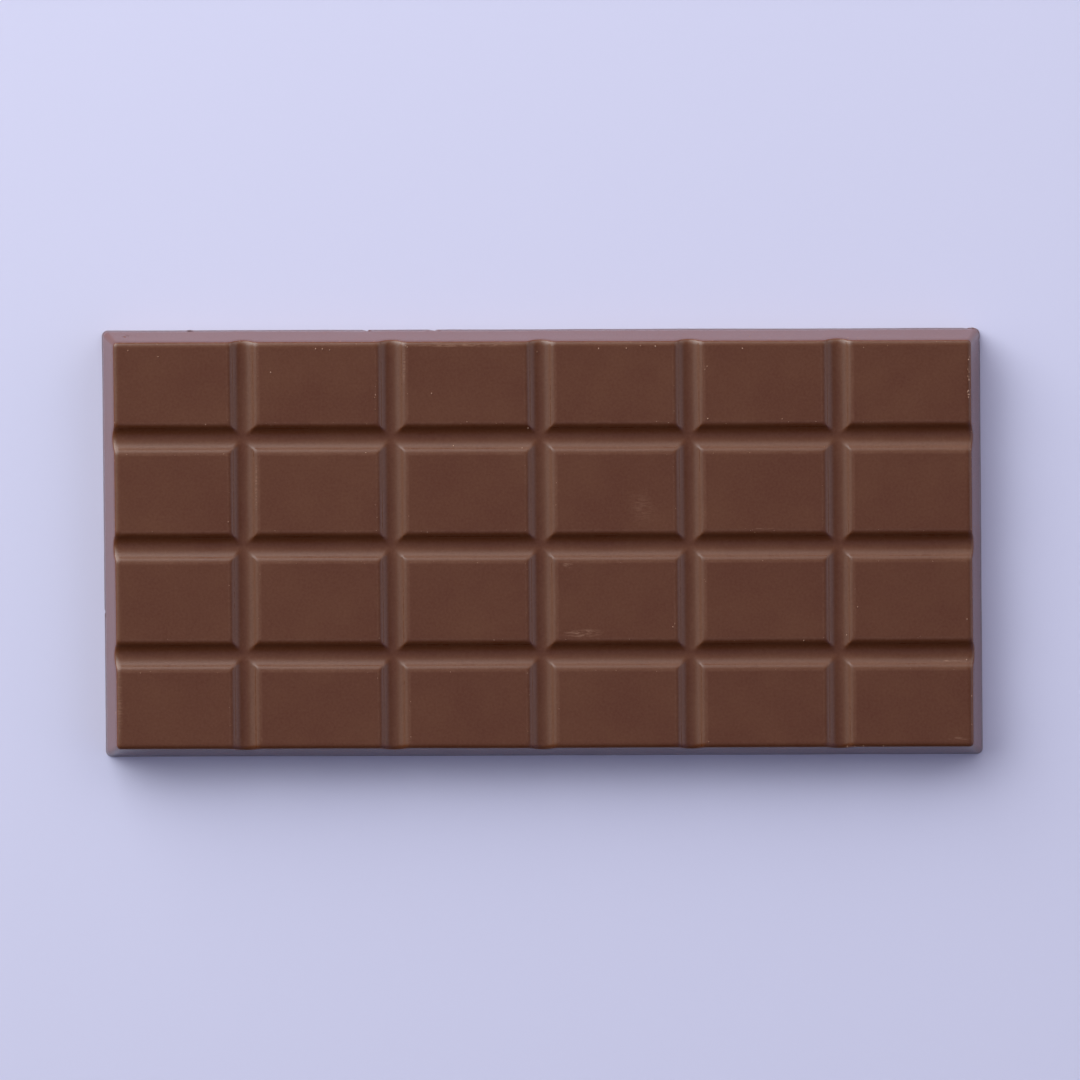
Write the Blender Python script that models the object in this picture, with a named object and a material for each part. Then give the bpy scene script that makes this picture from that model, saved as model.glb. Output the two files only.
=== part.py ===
"""A moulded bar of milk chocolate: one slab with drafted sides, divided into blocks by hollow grooves.

Metres, +Z up. The flat back lies on z = 0, centred on the origin, and the long side runs along X.
"""

import math

import bmesh
import bpy

# Driving dimensions
BACK_LENGTH = 0.155           # flat back, along X
BACK_WIDTH = 0.0755           # flat back, along Y
THICKNESS = 0.0076
SIDE_INSET = 0.0019           # how far the top's edge stands in from the back's edge
BACK_CORNER_RADIUS = 0.0011
TOP_CORNER_RADIUS = 0.0007
RIM_WIDTH = 0.0012            # the top curves down to the sides as a flat quarter oval
RIM_DROP = 0.0004
RIM_MARGIN = 0.0013           # from the end of the flat top to the sharp edge that the oval replaces

COLUMNS = 6
ROWS = 4
COLUMN_PITCH = 0.0262         # from groove to groove along X
ROW_PITCH = 0.0192            # from groove to groove along Y
COLUMN_SHIFT = -0.00015       # the moulded pattern sits a little off the middle of the slab
ROW_SHIFT = -0.00025
GROOVE_DEPTH = 0.00116
GROOVE_HALF_WIDTH = 0.00248   # from a groove's middle to the block's edge before it is rounded
GROOVE_WALL_ANGLE = math.radians(36)
BLOCK_EDGE_RADIUS = 0.0008

# How finely the round parts are divided
HOLLOW_STEPS = 4
BLOCK_EDGE_STEPS = 3
RIM_STEPS = 4
CORNER_STEPS = 4

# Finish
MILK_CHOCOLATE = (0.107, 0.042, 0.027, 1.0)
MILK_CHOCOLATE_ROUGHNESS = 0.45


def remove_all_objects():
    for item in list(bpy.data.objects):
        bpy.data.objects.remove(item, do_unlink=True)


def half_groove_section():
    """Half of a groove's section, as (distance from its middle, depth), from the middle outwards.

    A round hollow runs into a straight wall, and the wall into the rounded edge of the block.
    """
    slope = GROOVE_WALL_ANGLE
    walls_meet = GROOVE_HALF_WIDTH * math.tan(slope)
    hollow_radius = (walls_meet - GROOVE_DEPTH) / (1 / math.cos(slope) - 1)
    section = []
    for step in range(HOLLOW_STEPS + 1):
        turn = slope * step / HOLLOW_STEPS
        rise = hollow_radius * (1 - math.cos(turn))
        section.append((hollow_radius * math.sin(turn), GROOVE_DEPTH - rise))
    edge_centre = GROOVE_HALF_WIDTH + BLOCK_EDGE_RADIUS * math.tan(slope / 2)
    for step in range(BLOCK_EDGE_STEPS + 1):
        turn = slope * (1 - step / BLOCK_EDGE_STEPS)
        distance = edge_centre - BLOCK_EDGE_RADIUS * math.sin(turn)
        section.append((distance, BLOCK_EDGE_RADIUS * (1 - math.cos(turn))))
    return section


def stations_across(count, pitch, shift, half_extent):
    """Places of the surface's grid lines along one axis, each with the depth of that axis's grooves."""
    section = half_groove_section()
    stations = [(-half_extent, 0.0)]
    for groove in range(count - 1):
        middle = (groove - (count - 2) / 2) * pitch + shift
        for distance, depth in reversed(section[1:]):
            stations.append((middle - distance, depth))
        for distance, depth in section:
            stations.append((middle + distance, depth))
    stations.append((half_extent, 0.0))
    return stations


def rim_section():
    """The rounding of the top's edge, as (distance out from the sharp edge, drop below the surface)."""
    draft = SIDE_INSET / THICKNESS
    full_turn = math.atan2(RIM_WIDTH, RIM_DROP * draft)
    full_out = RIM_DROP * (1 - math.cos(full_turn)) * draft
    start = full_out - RIM_WIDTH * math.sin(full_turn)
    section = []
    for step in range(RIM_STEPS + 1):
        turn = full_turn * step / RIM_STEPS
        section.append((start + RIM_WIDTH * math.sin(turn), RIM_DROP * (1 - math.cos(turn))))
    return section


def add_top_surface(mesh, columns, rows):
    """The blocks and grooves inside the rim: where two grooves cross, the deeper one sets the height."""
    grid = []
    for x, depth_x in columns:
        line = []
        for y, depth_y in rows:
            line.append(mesh.verts.new((x, y, THICKNESS - max(depth_x, depth_y))))
        grid.append(line)
    for i in range(len(columns) - 1):
        rise_x = columns[i][1] - columns[i + 1][1]
        for j in range(len(rows) - 1):
            rise_y = rows[j][1] - rows[j + 1][1]
            corners = [grid[i][j], grid[i + 1][j], grid[i + 1][j + 1], grid[i][j + 1]]
            if rise_x * rise_y == 0:
                mesh.faces.new(corners)
                continue
            # a block's corner runs down to the crossing as a mitre, along the cell's diagonal
            if rise_x * rise_y < 0:
                corners = corners[1:] + corners[:1]
            mesh.faces.new((corners[0], corners[1], corners[2]))
            mesh.faces.new((corners[0], corners[2], corners[3]))
    return grid


def border_of(grid):
    """The grid's border counterclockwise from its +X, -Y corner, with each side's own copy of a corner."""
    last_x = len(grid) - 1
    last_y = len(grid[0]) - 1
    return [
        [grid[last_x][j] for j in range(last_y + 1)],
        [grid[last_x - i][last_y] for i in range(last_x + 1)],
        [grid[0][last_y - j] for j in range(last_y + 1)],
        [grid[i][0] for i in range(last_x + 1)],
    ]


def side_point(side, along, half_x, half_y, out):
    """A point beside one of the four sides, in the order +X, +Y, -X, -Y."""
    if side == 0:
        return half_x + out, along
    if side == 1:
        return along, half_y + out
    if side == 2:
        return -half_x - out, along
    return along, -half_y - out


def add_ring(mesh, columns, rows, half_x, half_y, out, radius, height_of):
    """A closed ring round the bar, as one list of vertices for each side and its rounded corner.

    out is its distance beyond the rectangle half_x by half_y, and height_of gives (extra out, z)
    from the depth of the groove that ends there.
    """
    sides = [rows, columns[::-1], rows[::-1], columns]
    ring = []
    for side, stations in enumerate(sides):
        run = []
        for along, depth in stations[1:-1]:
            extra, z = height_of(depth)
            x, y = side_point(side, along, half_x, half_y, out + extra)
            run.append(mesh.verts.new((x, y, z)))
        corner = []
        sign_x, sign_y = ((1, 1), (-1, 1), (-1, -1), (1, -1))[side]
        extra, z = height_of(0.0)
        centre_x = sign_x * (half_x + out + extra - radius)
        centre_y = sign_y * (half_y + out + extra - radius)
        for step in range(CORNER_STEPS + 1):
            turn = math.pi / 2 * (side + step / CORNER_STEPS)
            x = centre_x + radius * math.cos(turn)
            y = centre_y + radius * math.sin(turn)
            corner.append(mesh.verts.new((x, y, z)))
        ring.append((run, corner))
    return ring


def flatten(ring):
    return [vert for run, corner in ring for vert in run + corner]


def bridge_grid_to_ring(mesh, grid, ring):
    """Join the top surface to the first ring, with a fan of triangles at each corner."""
    for side, border in enumerate(border_of(grid)):
        run, corner = ring[side]
        start = ring[side - 1][1][-1]
        outer = [start] + run + [corner[0]]
        for k in range(len(border) - 1):
            mesh.faces.new((border[k], outer[k], outer[k + 1], border[k + 1]))
        for k in range(CORNER_STEPS):
            mesh.faces.new((border[-1], corner[k], corner[k + 1]))


def bridge_rings(mesh, inner, outer):
    inner = flatten(inner)
    outer = flatten(outer)
    for k in range(len(inner)):
        mesh.faces.new((inner[k - 1], outer[k - 1], outer[k], inner[k]))


def close_back(mesh, ring):
    """The flat back, as a fan from its middle."""
    edge = flatten(ring)
    middle = mesh.verts.new((0.0, 0.0, 0.0))
    for k in range(len(edge)):
        mesh.faces.new((edge[k], edge[k - 1], middle))


def build_bar():
    draft = SIDE_INSET / THICKNESS
    half_x = BACK_LENGTH / 2 - SIDE_INSET
    half_y = BACK_WIDTH / 2 - SIDE_INSET
    columns = stations_across(COLUMNS, COLUMN_PITCH, COLUMN_SHIFT, half_x - RIM_MARGIN)
    rows = stations_across(ROWS, ROW_PITCH, ROW_SHIFT, half_y - RIM_MARGIN)

    mesh = bmesh.new()
    grid = add_top_surface(mesh, columns, rows)
    rings = []
    for out, drop in rim_section():
        radius = TOP_CORNER_RADIUS * (RIM_MARGIN + out) / RIM_MARGIN
        rings.append(add_ring(mesh, columns, rows, half_x, half_y, out, radius,
                              lambda depth, drop=drop: (draft * depth, THICKNESS - depth - drop)))
    rings.append(add_ring(mesh, columns, rows, half_x, half_y, SIDE_INSET, BACK_CORNER_RADIUS,
                          lambda depth: (0.0, 0.0)))
    bridge_grid_to_ring(mesh, grid, rings[0])
    for inner, outer in zip(rings, rings[1:]):
        bridge_rings(mesh, inner, outer)
    close_back(mesh, rings[-1])
    return mesh


def milk_chocolate():
    material = bpy.data.materials.new("milk_chocolate")
    material.use_nodes = True
    shader = material.node_tree.nodes["Principled BSDF"]
    shader.inputs["Base Color"].default_value = MILK_CHOCOLATE
    shader.inputs["Roughness"].default_value = MILK_CHOCOLATE_ROUGHNESS
    shader.inputs["Metallic"].default_value = 0.0
    return material


def main():
    remove_all_objects()
    solid = build_bar()
    mesh = bpy.data.meshes.new("chocolate_bar")
    solid.to_mesh(mesh)
    solid.free()
    mesh.shade_smooth()
    mesh.set_sharp_from_angle(angle=math.radians(30))
    mesh.materials.append(milk_chocolate())
    bar = bpy.data.objects.new("chocolate_bar", mesh)
    bpy.context.scene.collection.objects.link(bar)


main()
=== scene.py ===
import math
import random

import bmesh
import bpy
from mathutils import Matrix, Vector, noise


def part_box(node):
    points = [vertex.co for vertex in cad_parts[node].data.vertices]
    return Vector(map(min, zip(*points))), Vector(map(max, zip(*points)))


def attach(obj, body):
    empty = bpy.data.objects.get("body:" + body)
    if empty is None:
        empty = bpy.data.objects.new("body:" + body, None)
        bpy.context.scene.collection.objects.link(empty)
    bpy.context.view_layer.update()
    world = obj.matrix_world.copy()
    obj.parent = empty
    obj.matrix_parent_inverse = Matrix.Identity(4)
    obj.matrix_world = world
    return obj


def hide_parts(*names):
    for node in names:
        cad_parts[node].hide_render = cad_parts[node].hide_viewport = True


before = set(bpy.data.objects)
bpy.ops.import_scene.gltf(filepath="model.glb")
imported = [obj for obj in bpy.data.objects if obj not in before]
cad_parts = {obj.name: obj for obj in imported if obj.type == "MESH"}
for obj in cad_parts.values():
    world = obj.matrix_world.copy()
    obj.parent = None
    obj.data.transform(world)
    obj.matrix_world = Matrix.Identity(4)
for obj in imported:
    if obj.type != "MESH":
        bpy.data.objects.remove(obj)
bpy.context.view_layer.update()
barLow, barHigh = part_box("chocolate_bar")
mm = 0.001
print("frame loaded, bar", [round((high - low) / mm, 1) for low, high in zip(barLow, barHigh)], "mm")

scalar = "ShaderNodeMath"
vector = "ShaderNodeVectorMath"
split = "ShaderNodeSeparateXYZ"
combine = "ShaderNodeCombineXYZ"


def linearColour(hexColour):
    # sRGB hex to the linear values that sockets take
    channels = [int(hexColour[i:i + 2], 16) / 255 for i in (1, 3, 5)]
    return [c / 12.92 if c <= 0.04045 else ((c + 0.055) / 1.055) ** 2.4 for c in channels] + [1.0]


def addNode(tree, kind, values=(), operation=None, **settings):
    # one node with its settings; values go into its sockets in order or by name, a node or a socket is linked
    added = tree.nodes.new(kind)
    if operation:
        added.operation = operation
    for name, value in settings.items():
        setattr(added, name, value)
    for key, value in values.items() if isinstance(values, dict) else enumerate(values):
        if isinstance(value, bpy.types.Node):
            value = next(socket for socket in value.outputs if socket.enabled)
        if isinstance(value, bpy.types.NodeSocket):
            tree.links.new(value, added.inputs[key])
        elif value is not None:
            added.inputs[key].default_value = value
    return added


def emptyMaterial(name):
    material = bpy.data.materials.new(name)
    material.use_nodes = True
    material.node_tree.nodes.clear()
    return material


def emptyGeometryTree(name, inputs, output):
    # a tree with named inputs and one output, and the sockets that its inputs come in by
    tree = bpy.data.node_groups.new(name, "GeometryNodeTree")
    for label, kind in inputs.items():
        tree.interface.new_socket(name=label, in_out="INPUT", socket_type="NodeSocket" + kind)
    label, kind = output
    tree.interface.new_socket(name=label, in_out="OUTPUT", socket_type="NodeSocket" + kind)
    return tree, addNode(tree, "NodeGroupInput").outputs


# Tempered milk chocolate set against a polished plastic mould: a satin, waxy gloss with a faint
# mottle of cocoa butter, dull where it has been rubbed, and pale dust where an edge was knocked.
# The side walls carry a painted reddish glow, and the pale line on the rims that face the lamps
# is partly a painted highlight.
# Each spread gives the values of a noise between which something comes in.
chocolateLook = {
    "body": "#53290F",            # brown of the polished face, before the gloss on it
    "mottle": "#582F15",
    "mottleSize": 9 * mm,
    "mottleSpread": (0.38, 0.72),
    "steep": "#5E2A0F",           # painted reddish glow on the side walls, for red light that comes through the chocolate
    "topFalloff": 3.0,            # how soon a face stops being a flat top as it tilts
    "steepFalloff": 4.0,          # how late it becomes a side wall
    "grainSize": 0.45 * mm,
    "grainSpread": (0.3, 0.7),
    "grainShare": 0.09,           # how much paler its palest grains are
    "grainHeight": 0.004 * mm,
    "rubbed": "#8E6A55",          # cocoa butter and dust on a rubbed edge, and on the lit rims partly a painted highlight
    "rubShare": 0.12,             # how pale an edge is at most
    "rubLength": 1.1 * mm,
    "rubSpread": (0.42, 0.66),
    "rubLeast": 0.25,             # share of the rubbing that is left in its breaks
    "rubDulling": 0.2,            # what the palest mark adds to the roughness
    "topRoughness": 0.44,         # the flat tops are dulled by the wrapper
    "wallRoughness": 0.14,        # the steep walls keep the polish of the mould
    "wallSkin": 0.35,             # and a thin skin of cocoa butter
    "patchSpread": (0.3, 0.7),
    "patchiness": 0.03,           # how far the roughness goes up and down with the mottle
    "ior": 1.50,
    "dustSize": 0.5 * mm,
    "dustStretch": (0.35, 1.6, 1.0),    # its specks are drawn out along the bar
    "dustSpread": (0.45, 0.62),
    "smearCore": 0.3,             # a smear keeps its strength over this share of its half size
    # thin smears left by fingers and wrapper: middle and half sizes in mm, turn in degrees, strength
    "smears": [
        {"at": (6.9, -15.6), "size": (4.0, 0.8), "turn": 2, "strength": 0.75},
        {"at": (4.4, -3.5), "size": (1.1, 0.8), "turn": 0, "strength": 0.6},
        {"at": (38.6, 2.8), "size": (2.6, 0.10), "turn": 0, "strength": 0.7},
        {"at": (73.0, -34.4), "size": (2.2, 0.35), "turn": 0, "strength": 0.6},
        {"at": (71.2, -20.7), "size": (3.6, 0.12), "turn": 0, "strength": 0.7},
        {"at": (17.5, 6.6), "size": (2.6, 3.6), "turn": 20, "strength": 0.18},
        {"at": (-74.6, -27.5), "size": (0.7, 7.0), "turn": 0, "strength": 0.3},
        {"at": (-50.4, 10.5), "size": (0.25, 5.0), "turn": 0, "strength": 0.6},
        {"at": (-24.3, 31.5), "size": (0.35, 4.0), "turn": 0, "strength": 0.45},
        {"at": (-13.0, 35.2), "size": (10.5, 0.35), "turn": 0, "strength": 0.6},
    ],
}


def facingShares(tree, look):
    # how far a face counts as a flat top, and how far as a side wall that stands almost upright
    normal = addNode(tree, "ShaderNodeTexCoord").outputs["Normal"]
    facing = addNode(tree, split, (normal,)).outputs[2]
    facing = addNode(tree, scalar, (facing,), "ABSOLUTE")
    topShare = addNode(tree, scalar, (facing, look["topFalloff"]), "POWER")
    steepShare = addNode(tree, scalar, (1.0, topShare), "SUBTRACT")
    steepShare = addNode(tree, scalar, (steepShare, look["steepFalloff"]), "POWER")
    return topShare, steepShare


def paleEdgesAndHighlight(tree, look, place):
    # pale where the edges have been rubbed, in broken lengths; on the rims that face the lamps this is partly
    # a painted highlight
    rub = addNode(tree, "ShaderNodeAttribute", attribute_name="rub").outputs["Fac"]
    breaks = addNode(tree, "ShaderNodeTexNoise",
                     {"Vector": place, "Scale": 1 / look["rubLength"], "Detail": 5.0, "Roughness": 0.7})
    breakShare = addNode(tree, "ShaderNodeMapRange", (breaks, *look["rubSpread"], look["rubLeast"], 1.0))
    pale = addNode(tree, scalar, (rub, breakShare), "MULTIPLY")
    return addNode(tree, scalar, (pale, look["rubShare"]), "MULTIPLY")


def addSmears(tree, look, place, pale):
    # ovals with a scratchy, dusty break-up; the palest mark wins
    scratches = addNode(tree, "ShaderNodeMapping", {"Vector": place, "Scale": look["dustStretch"]})
    dust = addNode(tree, "ShaderNodeTexNoise",
                   {"Vector": scratches, "Scale": 1 / look["dustSize"], "Detail": 3.0, "Roughness": 0.6})
    dustShare = addNode(tree, "ShaderNodeMapRange", (dust, *look["dustSpread"], 0.0, 1.0))
    for smear in look["smears"]:
        middle = [coordinate * mm for coordinate in smear["at"]]
        halfSizes = [half * mm for half in smear["size"]]
        oval = addNode(tree, "ShaderNodeMapping",
                       {"Vector": place, "Location": (*middle, 0.0), "Scale": (*halfSizes, 1.0),
                        "Rotation": (0.0, 0.0, math.radians(smear["turn"]))}, vector_type="TEXTURE")
        flatOval = addNode(tree, vector, (oval, (1, 1, 0)), "MULTIPLY")
        distance = addNode(tree, vector, (flatOval,), "LENGTH").outputs["Value"]
        inside = addNode(tree, "ShaderNodeMapRange",
                         (distance, look["smearCore"], 1.0, smear["strength"], 0.0))
        inside = addNode(tree, scalar, (inside, dustShare), "MULTIPLY")
        pale = addNode(tree, scalar, (pale, inside), "MAXIMUM")
    return pale


def milkChocolate(look):
    material = emptyMaterial("milkChocolate")
    tree = material.node_tree
    place = addNode(tree, "ShaderNodeTexCoord").outputs["Object"]
    mottle = addNode(tree, "ShaderNodeTexNoise",
                     {"Vector": place, "Scale": 1 / look["mottleSize"], "Detail": 4.0, "Roughness": 0.6})
    grain = addNode(tree, "ShaderNodeTexNoise",
                    {"Vector": place, "Scale": 1 / look["grainSize"], "Detail": 3.0, "Roughness": 0.55})
    mottleShare = addNode(tree, "ShaderNodeMapRange", (mottle, *look["mottleSpread"], 0.0, 1.0))
    grainShare = addNode(tree, "ShaderNodeMapRange", (grain, *look["grainSpread"], 0.0, look["grainShare"]))
    topShare, steepShare = facingShares(tree, look)
    pale = addSmears(tree, look, place, paleEdgesAndHighlight(tree, look, place))

    # each colour goes over the ones before it; the steep colour is a painted reddish glow on the side
    # walls, and on the lit rims the pale colour is partly a painted highlight
    colour = linearColour(look["body"])
    for share, over in ((mottleShare, "mottle"), (steepShare, "steep"),
                        (grainShare, "rubbed"), (pale, "rubbed")):
        colour = addNode(tree, "ShaderNodeMix", {0: share, 6: colour, 7: linearColour(look[over])},
                         data_type="RGBA").outputs[2]

    gloss = addNode(tree, "ShaderNodeMapRange",
                    (topShare, 0.0, 1.0, look["wallRoughness"], look["topRoughness"]))
    patchy = addNode(tree, "ShaderNodeMapRange",
                     (mottle, *look["patchSpread"], -look["patchiness"], look["patchiness"]))
    gloss = addNode(tree, scalar, (gloss, patchy), "ADD")
    roughness = addNode(tree, scalar, (pale, look["rubDulling"], gloss), "MULTIPLY_ADD")
    skin = addNode(tree, scalar, (steepShare, look["wallSkin"]), "MULTIPLY")
    bump = addNode(tree, "ShaderNodeBump",
                   {"Height": grain, "Strength": 1.0, "Distance": look["grainHeight"]})
    shader = addNode(tree, "ShaderNodeBsdfPrincipled",
                     {"Base Color": colour, "Roughness": roughness, "Normal": bump, "IOR": look["ior"],
                      "Coat Weight": skin, "Coat Roughness": look["wallRoughness"], "Coat IOR": look["ior"]})
    addNode(tree, "ShaderNodeOutputMaterial", {"Surface": shader})
    return material


# One grid of lines is bent into the whole top, rim and side wall, and a second one into the back.
# The lines stand close together in the grooves and along the rim, and wide apart on the flat blocks.
mouldedBar = {
    "columns": 6,
    "rows": 4,
    "pitch": (26.25 * mm, 19.17 * mm),      # from groove to groove
    "shift": (-0.41 * mm, -0.25 * mm),      # of the pattern; it makes up for topShift too
    "inset": 1.88 * mm,                     # the side walls lean in this far
    "backCorner": 1.1 * mm,
    "topCorner": 0.7 * mm,
    "rimWidth": 1.0 * mm,                   # the top curves down to its rim as a flat quarter oval
    "rimDrop": 0.6 * mm,
    "rimMargin": 1.08,                      # the flat top ends this many rim widths inside the inset
    "lip": 0.15 * mm,                       # rounding at the foot of the wall
    "grooveDepth": 1.16 * mm,
    "grooveAngle": math.radians(41),        # how steep a groove's walls are at their steepest
    # grooves across the bar, then along it
    "grooveHalf": (2.35 * mm, 2.37 * mm),   # from its middle to the block's edge before it is rounded
    "blockEdge": (1.86 * mm, 1.90 * mm),    # radius of that edge
    "crossingBlend": 0.25 * mm,             # how softly two grooves run into each other
    "guard": 0.12 * mm,                     # strip beside the edge that keeps the block's shading flat
    "waver": 0.07 * mm,                     # how far the moulded lines wander
    "waverSize": 16 * mm,
    "waverRoom": 1.2,                       # the outline is drawn in by this many wavers
    "skew": 0.0055,                         # it left its mould a little out of square
    "endTaper": 0.0023,                     # the short sides lean in by this share of the length more
    "topShift": 0.17 * mm,                  # the top stands a little to one side of the back
    "sag": 0.012 * mm,                      # unevenness of the flat blocks
    "sagSize": 9 * mm,
    "backRipple": 0.18 * mm,                # the poured side
    "rippleSize": 14 * mm,
    "weldGap": 0.004 * mm,
    # how many lines of the grid each stretch has
    "lines": {
        "hollow": 8, "wall": 1, "edge": 7,  # from a groove's middle to its block
        "land": (6, 4),                     # across a block
        "end": (8, 6),                      # from the last groove to the rim
        "rim": 7, "side": 6,
    },
    # where hands and wrapper rub; on the rims the pale line is partly a painted highlight, and the shaded
    # front rim is left without most of it
    "rubFrom": (0.0, 0.004 * mm),           # on a block's edge it comes in between these depths
    "rubTo": (0.02 * mm, 0.06 * mm),        # and goes out between these
    "rimRub": 0.8,                          # on the rim it is strongest at this share of the curve, where a painted highlight also lies
    "rimRubSpan": 3.0,                      # and fades over this many lines
    "frontSpared": 0.85,                    # share of the pale line that the front long side's rim is spared, as it lies in shade
}


def arcHeight(tree, radius, distance):
    # how high a round arc stands above its centre, at a distance to the side
    radiusSquare = addNode(tree, scalar, (radius, radius), "MULTIPLY")
    distanceSquare = addNode(tree, scalar, (distance, distance), "MULTIPLY")
    heightSquare = addNode(tree, scalar, (radiusSquare, distanceSquare), "SUBTRACT")
    return addNode(tree, scalar, (heightSquare,), "SQRT")


def grooveDepthGroup():
    # depth of a groove at a distance from its middle: round floor, straight wall, rounded block edge
    inputs = ("Distance", "Angle", "Hollow Half", "Groove Half", "Block Edge")
    tree, given = emptyGeometryTree("groove depth", dict.fromkeys(inputs, "Float"), ("Depth", "Float"))
    distance, angle, hollow, groove, edge = (given[name] for name in inputs)
    slope = addNode(tree, scalar, (angle,), "TANGENT")
    sine = addNode(tree, scalar, (angle,), "SINE")
    cosine = addNode(tree, scalar, (angle,), "COSINE")
    # the straight wall
    inside = addNode(tree, scalar, (groove, distance), "SUBTRACT")
    wallDepth = addNode(tree, scalar, (inside, slope), "MULTIPLY")
    # the round floor, tangent to the wall
    radius = addNode(tree, scalar, (hollow, sine), "DIVIDE")
    apex = addNode(tree, scalar, (groove, slope), "MULTIPLY")
    bend = addNode(tree, scalar, (radius, cosine), "DIVIDE")
    arcTop = addNode(tree, scalar, (apex, bend), "SUBTRACT")
    floorDepth = addNode(tree, scalar, (arcTop, arcHeight(tree, radius, distance)), "ADD")
    # the rounded edge
    halfAngle = addNode(tree, scalar, (angle, 0.5), "MULTIPLY")
    halfSlope = addNode(tree, scalar, (halfAngle,), "TANGENT")
    edgeEnd = addNode(tree, scalar, (edge, halfSlope, groove), "MULTIPLY_ADD")
    edgeInside = addNode(tree, scalar, (edgeEnd, distance), "SUBTRACT")
    edgeInside = addNode(tree, scalar, (edgeInside, 0.0), "MAXIMUM")
    edgeDepth = addNode(tree, scalar, (edge, arcHeight(tree, edge, edgeInside)), "SUBTRACT")
    # choose by distance
    edgeWidth = addNode(tree, scalar, (edge, sine), "MULTIPLY")
    wallEnd = addNode(tree, scalar, (edgeEnd, edgeWidth), "SUBTRACT")
    pastWall = addNode(tree, scalar, (distance, wallEnd), "GREATER_THAN")
    pastHollow = addNode(tree, scalar, (distance, hollow), "GREATER_THAN")
    outer = addNode(tree, "ShaderNodeMix", {0: pastWall, 2: wallDepth, 3: edgeDepth})
    depth = addNode(tree, "ShaderNodeMix", {0: pastHollow, 2: floorDepth, 3: outer})
    addNode(tree, "NodeGroupOutput", {"Depth": depth})
    return tree


def countLines(bar):
    # how many lines each stretch has along both axes; both halves of an axis are alike
    lines = bar["lines"]
    fromMiddle = lines["hollow"] + lines["wall"] + lines["edge"] + 1
    periods = [2 * fromMiddle + land for land in lines["land"]]
    lastGrooves = [(bar["columns"] - 2) // 2, (bar["rows"] - 2) // 2]
    flatEnds = [last * period + fromMiddle + end
                for last, period, end in zip(lastGrooves, periods, lines["end"])]
    rings = 1 + lines["rim"] + lines["side"] + 1
    return {"fromMiddle": fromMiddle, "period": (*periods, 1.0), "lastGroove": (*lastGrooves, 0.0),
            "flatEnd": (*flatEnds, 0.0), "rings": rings, "grid": [2 * (end + rings) + 1 for end in flatEnds]}


def nearestGroove(tree, counts, steps):
    # which groove a line belongs to, on which side of it the line is, and how many lines away
    turns = addNode(tree, vector, (steps, counts["period"]), "DIVIDE")
    turns = addNode(tree, vector, (turns, (0.5, 0.5, 0.5)), "ADD")
    turns = addNode(tree, vector, (turns,), "FLOOR")
    groove = addNode(tree, vector, (turns, counts["lastGroove"]), "MINIMUM")
    grooveStart = addNode(tree, vector, (groove, counts["period"]), "MULTIPLY")
    away = addNode(tree, vector, (steps, grooveStart), "SUBTRACT")
    awaySide = addNode(tree, vector, (away,), "SIGN")
    awaySteps = addNode(tree, vector, (away,), "ABSOLUTE")
    return groove, awaySide, awaySteps


def acrossGroove(tree, given, lines, awaySteps):
    # distance from the groove's middle, over its hollow, wall, rounded edge and guard strip, and their reach
    sine = addNode(tree, scalar, (given["Groove Angle"],), "SINE")
    halfAngle = addNode(tree, scalar, (given["Groove Angle"], 0.5), "MULTIPLY")
    halfSlope = addNode(tree, scalar, (halfAngle,), "TANGENT")
    edgeRun = addNode(tree, vector, {0: given["Block Edge"], "Scale": halfSlope}, "SCALE")
    edgeEnd = addNode(tree, vector, (edgeRun, given["Groove Half"]), "ADD")
    edgeWidth = addNode(tree, vector, {0: given["Block Edge"], "Scale": sine}, "SCALE")
    wallEnd = addNode(tree, vector, (edgeEnd, edgeWidth), "SUBTRACT")
    wallWidth = addNode(tree, vector, (wallEnd, given["Hollow Half"]), "SUBTRACT")
    guardWidth = addNode(tree, vector, {0: (1, 1, 0), "Scale": given["Guard"]}, "SCALE")
    reach = addNode(tree, vector, (edgeEnd, guardWidth), "ADD")
    fromGroove = (0, 0, 0)
    started = 0
    for count, width in ((lines["hollow"], given["Hollow Half"]), (lines["wall"], wallWidth),
                         (lines["edge"], edgeWidth), (1, guardWidth)):
        # the share of this stretch that lies between the groove's middle and the line
        share = addNode(tree, "ShaderNodeMapRange",
                        {6: awaySteps, 7: (started,) * 3, 8: (started + count,) * 3,
                         9: (0, 0, 0), 10: (1, 1, 1)}, data_type="FLOAT_VECTOR")
        part = addNode(tree, vector, (share.outputs[1], width), "MULTIPLY")
        fromGroove = addNode(tree, vector, (fromGroove, part), "ADD")
        started += count
    return fromGroove, reach


def blockSteps(tree, given, lines, counts, reach, margin):
    # from line to line on a block, between two grooves and from the last groove to the rim
    reachBoth = addNode(tree, vector, {0: reach, "Scale": 2.0}, "SCALE")
    landWidth = addNode(tree, vector, (given["Pitch"], reachBoth), "SUBTRACT")
    landStep = addNode(tree, vector, (landWidth, (*lines["land"], 1.0)), "DIVIDE")
    inward = addNode(tree, scalar, (given["Inset"], margin), "ADD")
    inwardBoth = addNode(tree, vector, {0: (1, 1, 0), "Scale": inward}, "SCALE")
    half = addNode(tree, vector, (given["Size"], (0.5, 0.5, 0)), "MULTIPLY")
    flatHalf = addNode(tree, vector, (half, inwardBoth), "SUBTRACT")
    lastPlace = addNode(tree, vector, (given["Pitch"], counts["lastGroove"]), "MULTIPLY")
    endWidth = addNode(tree, vector, (flatHalf, lastPlace), "SUBTRACT")
    endWidth = addNode(tree, vector, (endWidth, reach), "SUBTRACT")
    endStep = addNode(tree, vector, (endWidth, (*lines["end"], 1.0)), "DIVIDE")
    return landStep, endStep


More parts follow.
